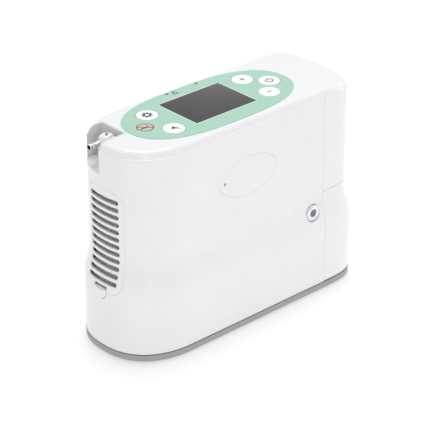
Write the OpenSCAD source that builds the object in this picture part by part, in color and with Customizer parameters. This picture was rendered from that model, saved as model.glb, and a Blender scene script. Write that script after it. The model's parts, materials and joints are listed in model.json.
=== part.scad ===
// Portable oxygen concentrator. Long axis along X with the filter grille at -X, the battery at +X,
// the DC inlet on the -Y side and +Z up. The origin is the centre of the footprint, on the floor.

/* [Body] */
// Overall length
body_length = 222; // [214:1:230]
// Overall width at the foot
body_width = 89; // [88.6:0.1:92]
// Height of the flat top of the case
case_top = 165.4; // [163:0.1:168]
// Wall thickness of the mouldings
wall = 2.4; // [2:0.1:2.8]
// How far the waist steps in above the flared foot
waist_step = 4.2; // [3.5:0.1:4.3]
// Gap between neighbouring mouldings
gap = 0.3; // [0.2:0.05:0.4]

/* [Top panel] */
// Length of the coloured label
label_length = 148; // [140:1:150]
// Width of the coloured label
label_width = 69.4; // [68.6:0.2:69.8]
// Radius of the push buttons
button_r = 8.2; // [7.5:0.1:8.5]
// Travel of the push buttons
button_travel = 0.8; // [0.5:0.1:1]
// Visible screen length
screen_length = 59; // [56:0.5:60]
// Visible screen depth
screen_depth = 43; // [40:0.5:44]

/* [Grille and battery] */
// Number of slots in the filter cover
slot_count = 12; // [10:1:12]
// Distance between slots
slot_pitch = 5.85; // [5.5:0.05:6]
// Height of one slot
slot_h = 3.8; // [3:0.1:4]
// Height of the top of the battery pack
battery_top = 82.2; // [81:0.2:83]

/* [Hidden] */

$fn = 48;
half_l = body_length/2;
half_w = body_width/2;
nose_x = -60;                    // where the straight sides end at the front
nose_len = half_l + nose_x;
nose_pow = 2.35;                 // roundness of the nose outline
rear_x = 62;                     // where the straight sides end at the back
rear_len = half_l - rear_x;
rear_pow = 4.8;                  // roundness of the rear outline
arc_steps = 22;
case_floor = 6.6;                // bottom edge of the white case
case_inset = 0.3;                // the white case stands this far inside the grey base
waist_inset = case_inset + waist_step;
flare_low = 52;                  // the foot flare runs from here
flare_high = 79;                 // up to here
split_z = 160.2;                 // joint between the sleeve and the top cover
seam_x = 72.3;                   // joint between the sleeve and the rear mouldings
battery_inner_x = 62;            // front face of the battery pack, inside the sleeve
label_x = -6;                    // centre of the label and screen
screen_y = 1.4;                  // the screen sits a little off the centre line
label_t = 0.4;
button_dx = 46.05;               // buttons beside the screen, from its centre
button_dy = 14.5;
power_dx = 59.6;
cap_low = 162.6;                 // underside of the button caps
key_top = 156.5;                 // top of the switches on the keypad board
stem_low = key_top + button_travel + 0.3;
cover_half_w = 19.5;             // filter cover outline
cover_low = 51.7;
cover_high = 132.3;
slot_half_w = 15.2;
slot_low = 60.2;                 // centre height of the lowest slot
hook_y = 10;                     // hooks at the top of the cover
latch_half_w = 6.3;
latch_low = 45.5;
latch_r = 6;                     // rounding of the bottom of the tab
latch_high = 53.8;
latch_gap = 0.4;                 // clearance around the tab
finger_gap = 2.7;                // opening above the tab, room for its travel
pocket_y = 15.4;                 // centre line of the nozzle pocket
pocket_half_w = 13.6;
pocket_back = -81;
pocket_floor = 143;
nozzle_z = 158;
boss_x = -89.4;
boss_y = 14.1;
boss_r = 6.2;
boss_top = 159.2;                // where the dome of the outlet boss starts
dome_h = 4.6;
boss_hole_low = 160;
nozzle_r = 2.2;
inlet_x = 61.4;
inlet_z = 68.6;
inlet_y = -42;                   // outer face of the inlet ring
inlet_bore_r = 2.9;
oval_x = -3.8;
oval_z = 122.3;
oval_half = [27.8, 15];
screw_x = -26.5;
vent_x = 20;                     // exhaust grille on the far side
vent_z = 104;
vent_half = [30, 22];
tank_z = 120;
tank_x = -58;
column_x = 40;
column_y = 18.8;
manifold_half_w = 36.8;
column_r = 17;
motor_z = 46;
shaft_r = 3;
main_board_z = 143.8;
fan_x = -83.5;
fan_z = 92;
fan_half = 29;
tube_r = 2.5;
bend_r = 6;
head_y = -31;                    // pump outlet tube
cell_r = 9.1;
cell_len = 65;
cell_pitch = 18.4;
cell_row_x = [73.4, 89.4];       // the two rows of battery cells
cell_shift = -2;
pack_half_w = 36.7;              // the part of the pack inside the sleeve
lamp_x = [-12.2, 16];            // status lights, from the label's centre
lamp_y = 32.1;
lamp_r = 1.2;
screw_places = [[-88, -18], [-88, 18], [56, -31], [56, 31]];
foot_x = [-74, 78];
foot_y = 26;

white = [0.94, 0.94, 0.95];
mint = [0.71, 0.85, 0.78];
grey = [0.62, 0.62, 0.63];
dark = [0.16, 0.16, 0.17];
metal = [0.74, 0.75, 0.77];
board = [0.10, 0.36, 0.20];

function spow(v, p) = sign(v)*pow(abs(v), p);
function smooth(t) = let(u = min(1, max(0, t))) u*u*(3 - 2*u);
function arc(cx, a, b, p, from) = [for (i = [0:arc_steps]) let(t = from + 180*i/arc_steps)
    [cx + a*spow(cos(t), 2/p), b*spow(sin(t), 2/p)]];
// Plan outline of the case, d inside its largest outline
function outline(d) = concat(arc(rear_x, rear_len - d, half_w - d, rear_pow, -90),
    arc(nose_x, nose_len - d, half_w - d, nose_pow, 90));
function side_inset(z) = case_inset + waist_step*smooth((z - flare_low)/(flare_high - flare_low));
function sleeve_levels(z0, z1) = [for (z = concat([z0],
    [for (k = [flare_low:4.5:flare_high]) if (k > z0 && k < z1) k], [z1])) [z, side_inset(z)]];

// Solid that passes through the outline at each [height, inset] of a list
module lofted(levels, d = 0) {
    n = 2*(arc_steps + 1);
    top = len(levels) - 1;
    points = [for (l = levels) for (p = outline(l[1] + d)) [p[0], p[1], l[0]]];
    sides = [for (j = [0:top - 1]) for (i = [0:n - 1]) let(k = (i + 1) % n)
        each [[j*n + i, (j + 1)*n + i, (j + 1)*n + k], [j*n + i, (j + 1)*n + k, j*n + k]]];
    polyhedron(points, concat([[for (i = [0:n - 1]) i]],
        [[for (i = [0:n - 1]) top*n + n - 1 - i]], sides));
}
module sleeve(z0, z1, over = 0, thick = wall) {
    difference() {
        lofted(sleeve_levels(z0, z1), over);
        lofted(sleeve_levels(z0 - 1, z1 + 1), over + thick);
    }
}
module box(low, high) {
    translate(low) cube(high - low);
}
module rounded(half, r) {
    hull() for (sx = [-1, 1], sy = [-1, 1]) translate([sx*(half[0] - r), sy*(half[1] - r)]) circle(r, $fn = 32);
}
// Prism along X over the filter cover's outline, grown by g
module cover_prism(g) {
    mid = (cover_low + cover_high)/2;
    translate([-130, 0, mid]) rotate([90, 0, 90]) linear_extrude(45)
        rounded([cover_half_w + g, (cover_high - cover_low)/2 + g], 10);
}
// Tab outline with a rounded bottom, grown by g, along X up to the given height
module latch_prism(g, top) {
    half = latch_half_w + g;
    knee = latch_low + latch_r;
    translate([-130, 0, 0]) rotate([90, 0, 90]) linear_extrude(35) {
        intersection() {
            translate([0, knee]) rounded([half, latch_r + g], latch_r);
            translate([-half, latch_low - g]) square([2*half, latch_r + g + 0.1]);
        }
        translate([-half, knee]) square([2*half, top - knee]);
    }
}
module pocket_space(g, low) {
    box([-130, pocket_y - pocket_half_w - g, low], [pocket_back + g, pocket_y + pocket_half_w + g, 170]);
}
module oval_prism(g, y0, y1) {
    translate([oval_x, y1, oval_z]) rotate([90, 0, 0]) linear_extrude(y1 - y0)
        scale([(oval_half[0] + g)/oval_half[1], (oval_half[1] + g)/oval_half[1]]) circle(oval_half[1], $fn = 64);
}
module vent_prism(g, y0, y1) {
    translate([vent_x, y1, vent_z]) rotate([90, 0, 0]) linear_extrude(y1 - y0) rounded(vent_half + [g, g], 8);
}
module at_inlet() {
    translate([inlet_x, inlet_y, inlet_z]) rotate([-90, 0, 0]) children();
}
button_places = [[-button_dx, button_dy], [-button_dx, -button_dy], [button_dx, button_dy],
    [button_dx, -button_dy], [power_dx, 0]];

// ---- Case ----
module main_housing() color(white) difference() {
    sleeve(case_floor, split_z);
    box([seam_x, -60, 0], [130, 60, 170]);
    cover_prism(gap);
    latch_prism(gap, cover_low + 5);
    pocket_space(gap, pocket_floor - 1.6 - gap);
    oval_prism(gap, -50, -30);
    vent_prism(gap, 30, 50);
    translate([inlet_x, -50, inlet_z]) rotate([-90, 0, 0]) cylinder(r = 7, h = 15);
}
module top_cover() color(white) difference() {
    union() {
        difference() {
            lofted([[split_z + gap, waist_inset], [split_z + 1.1, waist_inset + 0.3],
                [case_top - 1.6, 6.5], [case_top - 0.6, 7.6], [case_top, 9.4]]);
            lofted([[split_z, waist_inset + wall], [162, 8.1], [case_top - wall, 11.6]]);
        }
        for (x = [-69, 59], s = [-1, 1]) translate([x, s*26, 155.4]) cylinder(r = 3, h = 8);
    }
    for (p = button_places) translate([label_x + p[0], p[1], 155]) cylinder(r = button_r + 0.4, h = 15);
    translate([label_x, screen_y, 155]) linear_extrude(15)
        rounded([screen_length/2 + 1, screen_depth/2 + 1], 2);
    pocket_space(-1.6, 150);
    for (x = lamp_x) translate([label_x + x, lamp_y, 155]) cylinder(r = lamp_r + 0.1, h = 15);
}
module rear_cover() color(white) difference() {
    sleeve(battery_top + 0.6, split_z);
    box([-130, -60, 0], [seam_x + gap, 60, 170]);
}
module nozzle_pocket() color(white) difference() {
    intersection() {
        pocket_space(0, pocket_floor - 1.6);
        lofted(concat(sleeve_levels(100, split_z), [[161.8, 7.4]]), 1.2);
    }
    pocket_space(-1.6, pocket_floor);
    box([-130, pocket_y - pocket_half_w + 1.6, pocket_floor], [-100, pocket_y + pocket_half_w - 1.6, 170]);
}
module base_plate() color(grey) difference() {
    translate([0, 0, 0.8]) linear_extrude(5.2) polygon(outline(0));
    translate([0, 0, 3.4]) linear_extrude(10) polygon(outline(wall + 1));
    for (x = foot_x, s = [-1, 1]) translate([x, s*foot_y, 0]) cylinder(r = 6.3, h = 2);
    for (p = screw_places) translate([p[0], p[1], 0]) {
        cylinder(r = 1.7, h = 8);
        cylinder(r = 3.2, h = 2.2);
    }
}
module base_gasket() color(dark) difference() {
    translate([0, 0, 6]) linear_extrude(case_floor - 6) polygon(outline(0.9));
    translate([0, 0, 5]) linear_extrude(4) polygon(outline(wall));
}
module feet() color(dark) for (x = foot_x, s = [-1, 1]) translate([x, s*foot_y, 0])
    cylinder(r = 6.2, h = 2);
module case_screws() color(metal) for (p = screw_places) translate([p[0], p[1], 1]) {
    cylinder(r = 1.5, h = 9.6);
    cylinder(r = 3, h = 1.1);
}

// ---- Top panel ----
function label_outline(a, b) = [for (i = [0:63]) let(t = i*360/64)
    [label_x + a*spow(cos(t), 2/2.9), b*spow(sin(t), 2/2.2)]];
module control_label() color(mint) translate([0, 0, case_top]) linear_extrude(label_t) difference() {
    polygon(label_outline(label_length/2, label_width/2));
    for (p = button_places) translate([label_x + p[0], p[1]]) circle(button_r + 0.25);
    translate([label_x, screen_y]) square([screen_length + 0.6, screen_depth + 0.6], center = true);
    for (x = lamp_x) translate([label_x + x, lamp_y]) circle(lamp_r + 0.1, $fn = 24);
}
module screen_lens() color(dark) {
    translate([label_x, screen_y, case_top - 1.2]) linear_extrude(1.5)
        rounded([screen_length/2, screen_depth/2], 1.5);
}
module display_module() color([0.3, 0.31, 0.33])
    box([label_x - 32, -25, 157.4], [label_x + 32, 25, 162.6]);
module push_button(i) color(white) translate([label_x + button_places[i][0], button_places[i][1], 0]) {
    translate([0, 0, cap_low]) cylinder(r = button_r, h = case_top + label_t + 0.3 - cap_low);
    translate([0, 0, stem_low]) cylinder(r = 2.2, h = cap_low + 0.2 - stem_low);
}
module button_settings() push_button(0);
module button_mute() push_button(1);
module button_plus() push_button(2);
module button_minus() push_button(3);
module button_power() push_button(4);
module status_lights() color([0.45, 0.07, 0.08]) for (x = lamp_x)
    translate([label_x + x, lamp_y, 157.5]) cylinder(r = lamp_r, h = case_top + 0.5 - 157.5, $fn = 24);
module keypad_board() color(board) {
    difference() {
        box([-72, -30, 153.6], [62, 33, 155.2]);
        for (x = [-69, 59], s = [-1, 1]) translate([x, s*26, 150]) cylinder(r = 1.6, h = 8);
    }
    for (p = button_places) translate([label_x + p[0], p[1], 155.2]) cylinder(r = 3, h = key_top - 155.2);
}

// ---- Air filter at the nose ----
module filter_cover_plate() color(white) difference() {
    intersection() {
        sleeve(cover_low - 1, cover_high + 1);
        cover_prism(0);
    }
    for (i = [0:slot_count - 1]) translate([-130, 0, slot_low + i*slot_pitch]) rotate([90, 0, 90])
        linear_extrude(45) square([2*slot_half_w, slot_h], center = true);
    latch_prism(latch_gap, latch_high + finger_gap);
}
// The cover with the two hooks that hold its top edge behind the lip of the housing
module filter_cover() {
    filter_cover_plate();
    color(white) for (s = [-1, 1]) {
        box([-104.4, s*hook_y - 3, cover_high - 4.4], [-100.8, s*hook_y + 3, cover_high - 1.6]);
        box([-102.2, s*hook_y - 3, cover_high - 4.4], [-100.8, s*hook_y + 3, cover_high + 3.4]);
    }
}
module filter_latch() color(white) intersection() {
    sleeve(latch_low - 4, latch_high + 2);
    latch_prism(0, latch_high);
}
module filter_foam() color(dark) intersection() {
    sleeve(cover_low + 3, cover_high - 5.6, wall + 1.2, 5);
    box([-120, -16, 0], [-80, 16, 170]);
}

// ---- Oxygen outlet ----
module outlet_boss() color(white) translate([boss_x, boss_y, 0]) difference() {
    rotate_extrude() polygon(concat([[0, pocket_floor], [boss_r, pocket_floor]],
        [for (t = [0:15:90]) [boss_r*cos(t), boss_top + dome_h*sin(t)]]));
    translate([-8, 0, nozzle_z]) rotate([0, 90, 0]) cylinder(r = 2.7, h = 8);
    translate([0, 0, boss_hole_low]) cylinder(r = 1, h = 10, $fn = 24);
}
module outlet_nozzle() color(metal) translate([boss_x, boss_y, nozzle_z]) rotate([0, -90, 0]) difference() {
    union() {
        translate([0, 0, 1]) cylinder(r = 2.6, h = 5.8);
        translate([0, 0, 6.8]) cylinder(r = 2.8, h = 0.8);
        translate([0, 0, 7.6]) cylinder(r = nozzle_r, h = 8.7);
    }
    translate([0, 0, 0.5]) cylinder(r = 1.4, h = 20);
}
module outlet_seal() color(dark) translate([boss_x, boss_y, pocket_floor - 1.6])
    translate([0, 0, -1.5]) difference() {
        cylinder(r = 6, h = 1.5);
        translate([0, 0, -1]) cylinder(r = 3, h = 4);
    }

// ---- DC inlet ----
module dc_inlet_ring() color(metal) at_inlet() difference() {
    rotate_extrude($fn = 64) polygon([[0, 0], [4.6, 0], [6.7, 0.9], [6.7, 4], [0, 4]]);
    translate([0, 0, -1]) cylinder(r = inlet_bore_r, h = 8);
}
module dc_inlet_socket() color(dark) at_inlet() translate([0, 0, 4]) difference() {
    union() {
        cylinder(r = 5.2, h = 10);
        translate([-6, -6, 4]) cube([12, 12, 8]);
    }
    translate([0, 0, -1]) cylinder(r = 3.2, h = 9);
}
module dc_inlet_pin() color(metal) at_inlet() translate([0, 0, 4.5]) cylinder(r = 0.8, h = 7.5, $fn = 24);

// ---- Side and rear fittings ----
module side_cover() color(white) difference() {
    intersection() {
        sleeve(100, 145, 0, 1.8);
        oval_prism(0, -60, -30);
    }
    translate([screw_x, -50, oval_z]) rotate([-90, 0, 0]) cylinder(r = 1.3, h = 20);
}
module side_cover_screw() color(metal) translate([screw_x, -half_w + 5, oval_z]) rotate([-90, 0, 0])
    cylinder(r = 1.2, h = 7, $fn = 24);
module exhaust_grille() color(white) difference() {
    intersection() {
        sleeve(70, 130, 0, 1.8);
        vent_prism(0, 30, 60);
    }
    for (i = [-3:3]) translate([vent_x, 60, vent_z + i*5.4]) rotate([90, 0, 0])
        linear_extrude(40) square([50, 2.6], center = true);
}

// ---- Battery pack ----
// Corner of the pack that leaves room for the DC socket
module inlet_notch(g) {
    box([60, -40, 59 - g], [inlet_x + 7 + g, inlet_y + 17 + g, 82]);
}
module battery_case() color(white) difference() {
    union() {
        intersection() {
            lofted(sleeve_levels(case_floor + gap, battery_top));
            box([seam_x + gap, -60, 0], [130, 60, 100]);
        }
        box([battery_inner_x, -pack_half_w, case_floor + 2], [seam_x + 1, pack_half_w, battery_top - 3]);
    }
    difference() {
        intersection() {
            lofted(sleeve_levels(case_floor + 2.6, battery_top - wall), wall + 0.2);
            box([battery_inner_x + 2, 1 - pack_half_w, 0], [130, pack_half_w - 1, 100]);
        }
        inlet_notch(2);
    }
    inlet_notch(0);
    box([battery_inner_x - 1, -12, 20], [battery_inner_x + 3, 12, 30]);
    box([100, -14, 58], [130, 14, 70]);
}
module battery_cells() color([0.25, 0.42, 0.70]) for (i = [0:1], j = [0:2])
    translate([cell_row_x[i], (j - 0.5 - i/2)*cell_pitch + cell_shift, case_floor + 2.7])
        cylinder(r = cell_r, h = cell_len);
module battery_connector() color(dark) box([battery_inner_x + 0.2, -11.8, 20.2], [battery_inner_x + 2, 11.8, 29.8]);
module battery_contacts() color(dark) box([battery_inner_x - 2.6, -11, 19], [battery_inner_x - 0.4, 11, 31]);
module battery_release() color(grey) intersection() {
    sleeve(55, 73, 0.5, 2.6);
    box([95, -13.7, 58.3], [130, 13.7, 69.7]);
}

// ---- Compressor ----
module portal(x, top) {
    for (s = [-1, 1]) box([x, s*35 - 1, 9], [x + 5.5, s*35 + 1, top]);
    box([x, -36, top - 2], [x + 5.5, 36, top]);
}
module chassis() color(metal) {
    difference() {
        translate([0, 0, 8]) linear_extrude(2) intersection() {
            polygon(outline(5));
            translate([-120, -50]) square([120 + battery_inner_x - 1, 100]);
        }
        for (p = screw_places) translate([p[0], p[1], 7]) cylinder(r = 1.6, h = 4);
        translate([-30, 0, 9]) cube([40, 20, 4], center = true);
    }
    portal(-62, main_board_z);
    portal(14.5, main_board_z);
    box([-62, -12, tank_z - 19], [20, 12, tank_z - 17]);
    for (x = [-62, 14.5]) box([x, -36, tank_z - 19], [x + 5.5, 36, tank_z - 17]);
}
mount_places = [[-58, -17], [-58, 17], [8, -17], [8, 17]];
module rubber_mounts() color(dark) for (p = mount_places) translate([p[0], p[1], 10]) cylinder(r = 5, h = 12);
module motor_can() color(metal) {
    difference() {
        translate([-64, 0, motor_z]) rotate([0, 90, 0]) cylinder(r = 22, h = 46);
        translate([-61, 0, motor_z]) rotate([0, 90, 0]) cylinder(r = 19, h = 40);
        translate([-70, 0, motor_z]) rotate([0, 90, 0]) cylinder(r = shaft_r + 0.05, h = 60);
    }
    for (s = [-1, 1]) box([-64, s*17 - 5, 22], [-52, s*17 + 5, motor_z - 13]);
}
module motor_shaft() color([0.55, 0.56, 0.58]) translate([-72, 0, motor_z]) rotate([0, 90, 0]) {
    cylinder(r = shaft_r, h = 78);
    cylinder(r = 18, h = 4);
    translate([0, 0, 14]) cylinder(r = 17, h = 34);
    translate([3.5, 0, 63]) cylinder(r = 9, h = 8);
}
module crankcase() color([0.68, 0.69, 0.71]) difference() {
    union() {
        box([-17.6, -20, 24], [14, 20, 68]);
        for (s = [-1, 1]) box([3, s*17 - 5, 22], [13, s*17 + 5, 25]);
    }
    box([-14, -17, 27], [11, 17, 65]);
    translate([-30, 0, motor_z]) rotate([0, 90, 0]) cylinder(r = shaft_r + 0.05, h = 60);
}
module pump_heads() color(metal) for (s = [-1, 1]) translate([-2, s*20, motor_z]) rotate([-90*s, 0, 0]) {
    cylinder(r = 13, h = 8);
    for (i = [0:3]) translate([0, 0, 8 + i*3]) cylinder(r = 15 - 2*(i % 2), h = 3);
}

// ---- Sieve beds and gas path ----
module sieve_beds() color([0.80, 0.81, 0.83]) for (s = [-1, 1]) translate([column_x, s*column_y, 0]) {
    translate([0, 0, 30]) cylinder(r = column_r, h = 102);
    for (z = [30, 126]) translate([0, 0, z]) cylinder(r = column_r + 1, h = 6);
}
module manifold_block(z0, z1) {
    color([0.30, 0.31, 0.33])
        box([column_x - 19, -manifold_half_w, z0], [column_x + 19, manifold_half_w, z1]);
}
module lower_manifold() manifold_block(22, 30);
module upper_manifold() manifold_block(132, 141);
module solenoid_valves() color([0.75, 0.62, 0.25]) for (i = [-1:1]) translate([13.5, i*20, 134.4]) {
    rotate([0, 90, 0]) cylinder(r = 6, h = 7.5);
    translate([-12, -6.5, -6.5]) cube([12, 13, 13]);
}
module product_tank() color(metal) translate([tank_x, 0, tank_z]) rotate([0, 90, 0]) {
    translate([0, 0, 4]) cylinder(r = 17, h = 48);
    for (z = [0, 52]) translate([0, 0, z]) cylinder(r = 15, h = 4);
}
module exhaust_muffler() color(dark) translate([90, 0, 88]) difference() {
    cylinder(r = 13, h = 50);
    translate([0, 0, -1]) cylinder(r = 3, h = 8);
}
module fan_housing() color(dark) {
    difference() {
        translate([fan_x, 0, fan_z]) cube([14, 2*fan_half, 2*fan_half], center = true);
        translate([fan_x - 10, 0, fan_z]) rotate([0, 90, 0]) cylinder(r = fan_half - 1.5, h = 14);
        for (a = [0:90:270]) translate([fan_x - 10, 0, fan_z]) rotate([a, 0, 0])
            translate([0, 0, 17]) rotate([0, 90, 0]) cylinder(r = 8, h = 30);
        for (a = [45:90:315]) translate([fan_x - 10, 0, fan_z]) rotate([a, 0, 0])
            translate([0, 0, fan_half + 6]) rotate([0, 90, 0]) cylinder(r = 2, h = 30);
    }
    translate([fan_x - 1, 0, fan_z]) rotate([0, 90, 0]) cylinder(r = 1.5, h = 6);
}
module fan_rotor() color([0.22, 0.22, 0.23]) translate([fan_x - 6, 0, fan_z]) rotate([0, 90, 0]) difference() {
    union() {
        cylinder(r = 10, h = 9);
        for (a = [0:360/7:359]) rotate([0, 0, a]) translate([9, 0, 1.5]) rotate([38, 0, 0])
            cube([17, 1.4, 8]);
    }
    translate([0, 0, 4.5]) cylinder(r = 1.55, h = 6);
}
module main_board() color(board) {
    box([-62, -33, main_board_z], [58, 33, main_board_z + 1.6]);
    for (i = [0:3]) box([-46 + 26*i, -20, main_board_z + 1.6], [-34 + 26*i, -6, main_board_z + 5]);
    for (i = [0:4]) translate([-44 + 20*i, 20, main_board_z + 1.6]) cylinder(r = 4, h = 6.5, $fn = 24);
}
module alarm_buzzer() color(dark) translate([-72, -18, 146]) difference() {
    cylinder(r = 8, h = 6);
    translate([0, 0, 3]) cylinder(r = 2, h = 5);
}
// Quarter bend in the XZ plane, in the quadrant that sx and sz name
module bend(sx, sz) mirror([sx < 0 ? 1 : 0, 0, 0]) mirror([0, 0, sz < 0 ? 1 : 0]) rotate([90, 0, 0])
    rotate_extrude(angle = 90) translate([bend_r, 0]) circle(tube_r, $fn = 24);
module run_x(x0, x1, y, z) translate([x0, y, z]) rotate([0, 90, 0]) cylinder(r = tube_r, h = x1 - x0);
module run_z(x, y, z0, z1) translate([x, y, z0]) cylinder(r = tube_r, h = z1 - z0);
module air_tubes() color([0.85, 0.86, 0.88]) {
    run_z(-2, head_y, 61.4, 130);
    translate([-2 + bend_r, head_y, 130]) bend(-1, 1);
    run_x(-2 + bend_r, 20.8, head_y, 130 + bend_r);
    run_x(tank_x + 56.2, 5, 0, tank_z);
    translate([5, 0, tank_z + bend_r]) bend(1, -1);
    run_z(5 + bend_r, 0, tank_z + bend_r, 127.7);
    run_z(boss_x, boss_y, 130.5, pocket_floor - 3.3);
    translate([boss_x + bend_r, boss_y, 130.5]) bend(-1, -1);
    run_x(boss_x + bend_r, tank_x - 0.2, boss_y, 130.5 - bend_r);
}

main_housing();
top_cover();
rear_cover();
nozzle_pocket();
base_plate();
base_gasket();
feet();
control_label();
screen_lens();
display_module();
button_settings();
button_mute();
button_plus();
button_minus();
button_power();
status_lights();
keypad_board();
filter_cover();
filter_latch();
filter_foam();
outlet_boss();
outlet_nozzle();
outlet_seal();
dc_inlet_ring();
dc_inlet_socket();
dc_inlet_pin();
side_cover();
side_cover_screw();
exhaust_grille();
battery_case();
battery_cells();
battery_contacts();
battery_release();
battery_connector();
chassis();
rubber_mounts();
motor_can();
motor_shaft();
crankcase();
pump_heads();
sieve_beds();
lower_manifold();
upper_manifold();
solenoid_valves();
product_tank();
exhaust_muffler();
fan_housing();
fan_rotor();
main_board();
alarm_buzzer();
air_tubes();
case_screws();
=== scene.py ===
"""Portable oxygen concentrator: the visible pieces and their finishes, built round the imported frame."""
import json
import math

import bmesh
import bpy
import numpy as np
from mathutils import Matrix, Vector
from mathutils.bvhtree import BVHTree


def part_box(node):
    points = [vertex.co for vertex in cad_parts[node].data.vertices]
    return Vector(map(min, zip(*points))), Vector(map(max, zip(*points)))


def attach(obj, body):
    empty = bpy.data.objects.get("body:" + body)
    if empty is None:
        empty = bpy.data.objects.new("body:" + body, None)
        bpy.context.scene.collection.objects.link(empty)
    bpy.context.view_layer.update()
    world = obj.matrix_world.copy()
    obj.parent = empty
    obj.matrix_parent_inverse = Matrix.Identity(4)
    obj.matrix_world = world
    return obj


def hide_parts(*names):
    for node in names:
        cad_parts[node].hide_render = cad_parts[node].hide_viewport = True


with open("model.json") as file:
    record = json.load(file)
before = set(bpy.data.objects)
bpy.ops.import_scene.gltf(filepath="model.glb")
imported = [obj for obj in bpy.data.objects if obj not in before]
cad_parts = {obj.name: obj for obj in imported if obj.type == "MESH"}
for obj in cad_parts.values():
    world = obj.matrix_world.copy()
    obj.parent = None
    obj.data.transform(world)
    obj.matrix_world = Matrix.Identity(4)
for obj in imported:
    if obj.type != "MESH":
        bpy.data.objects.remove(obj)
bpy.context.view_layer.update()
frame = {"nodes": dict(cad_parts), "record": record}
MM = 0.001

# ---------------------------------------------------------------- sizes, in metres
BASE_LOW, BASE_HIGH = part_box("base_plate")
COVER_LOW, COVER_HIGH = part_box("filter_cover")
HALF_L, HALF_W = BASE_HIGH.x, BASE_HIGH.y
CASE_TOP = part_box("top_cover")[1].z
CASE_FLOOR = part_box("main_housing")[0].z
SPLIT_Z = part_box("main_housing")[1].z
SEAM_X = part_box("main_housing")[1].x
BATTERY_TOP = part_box("battery_case")[1].z
LABEL_LOW, LABEL_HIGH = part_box("control_label")
LABEL_X = (LABEL_LOW.x + LABEL_HIGH.x) / 2
LABEL_TOP = LABEL_HIGH.z
SCREEN_LOW, SCREEN_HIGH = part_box("screen_lens")
BUTTON_R = (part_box("button_power")[1].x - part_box("button_power")[0].x) / 2

NOSE_X = -60 * MM                 # where the straight sides end at the front
REAR_X = 62 * MM                  # and at the back
NOSE_POWER = 2.35                 # roundness of the two ends of the outline
REAR_POWER = 4.8
WALL = 2.4 * MM
CASE_INSET = 0.3 * MM             # the white case stands this far inside the base
WAIST_STEP = 4.2 * MM             # and steps in by this much above the flared foot
FLARE_LOW, FLARE_HIGH = 52 * MM, 79 * MM
REAR_SEAM = 0.16 * MM             # visible gap in front of the rear mouldings
SEAM = 0.10 * MM                  # holes in the case are this much larger than their covers
AROUND = 224                      # points round the case
STATION_STEPS = 3000              # fine steps along each end, used to space those points


def signed_power(v, p):
    """Power of the size of v, with the sign of v."""
    return np.sign(v) * np.abs(v) ** p


def smooth(t):
    """Soft step from 0 to 1."""
    t = min(1, max(0, t))
    return t * t * (3 - 2 * t)


def side_inset(z):
    """How far the case wall stands inside the base outline at a height."""
    return CASE_INSET + WAIST_STEP * smooth((z - FLARE_LOW) / (FLARE_HIGH - FLARE_LOW))


def outline_stations(count):
    """Evenly spaced stations round the plan outline: centre x, which end, and angle."""
    steps = STATION_STEPS
    angle = np.radians(np.linspace(-90, 90, steps))
    centre = np.concatenate([np.full(steps, REAR_X), np.full(steps, NOSE_X)])
    at_nose = np.concatenate([np.zeros(steps), np.ones(steps)])
    angle = np.concatenate([angle, angle + math.pi])
    x, y = outline_points(centre, at_nose, angle, 0)
    strides = np.hypot(np.diff(np.append(x, x[0])), np.diff(np.append(y, y[0])))
    gone = np.concatenate([[0], np.cumsum(strides)])
    want = np.arange(count) / count * gone[-1]
    ends = [np.append(v, v[0]) for v in (centre, at_nose)]
    turn = np.append(angle, angle[0] + 2 * math.pi)
    at = np.interp(want, gone, turn)
    return np.interp(want, gone, ends[0]), (np.interp(want, gone, ends[1]) > 0.5), at


def outline_points(centre, at_nose, angle, inset):
    """Plan outline of the object, moved in by inset."""
    power = np.where(at_nose > 0.5, NOSE_POWER, REAR_POWER)
    reach = np.where(at_nose > 0.5, HALF_L + NOSE_X, HALF_L - REAR_X) - inset
    c, s = np.cos(angle), np.sin(angle)
    c = np.where(np.abs(c) < 1e-9, 0, c)
    return centre + reach * signed_power(c, 2 / power), (HALF_W - inset) * signed_power(s, 2 / power)


STATIONS = outline_stations(AROUND)


def ring(z, inset):
    """Points round the case at one height."""
    x, y = outline_points(*STATIONS, inset)
    return np.column_stack([x, y, np.full(len(x), z)])


# ---------------------------------------------------------------- mesh helpers
def new_object(name, verts, faces):
    """Mesh object in the scene."""
    mesh = bpy.data.meshes.new(name)
    mesh.from_pydata([tuple(v) for v in verts], [], faces)
    mesh.validate()
    obj = bpy.data.objects.new(name, mesh)
    bpy.context.scene.collection.objects.link(obj)
    return obj


def bridge(rings, closed=False, cap_low=False, cap_high=False):
    """Vertices and quads through a list of equal rings."""
    n = len(rings[0])
    faces = []
    pairs = [(j, j + 1) for j in range(len(rings) - 1)]
    if closed:
        pairs.append((len(rings) - 1, 0))
    for a, b in pairs:
        for i in range(n):
            k = (i + 1) % n
            faces.append((a * n + i, a * n + k, b * n + k, b * n + i))
    if cap_low:
        faces.append(tuple(reversed(range(n))))
    if cap_high:
        top = (len(rings) - 1) * n
        faces.append(tuple(range(top, top + n)))
    return np.concatenate(rings), faces


def applied(obj):
    """Bakes an object's modifiers into its mesh."""
    graph = bpy.context.evaluated_depsgraph_get()
    mesh = bpy.data.meshes.new_from_object(obj.evaluated_get(graph))
    old = obj.data
    obj.modifiers.clear()
    obj.data = mesh
    bpy.data.meshes.remove(old)
    return obj


def combine(obj, tool, operation="DIFFERENCE"):
    """Boolean of obj with a tool object, which is used up."""
    mod = obj.modifiers.new("cut", "BOOLEAN")
    mod.object, mod.operation, mod.solver = tool, operation, "EXACT"
    applied(obj)
    bpy.data.objects.remove(tool)
    return obj


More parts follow.
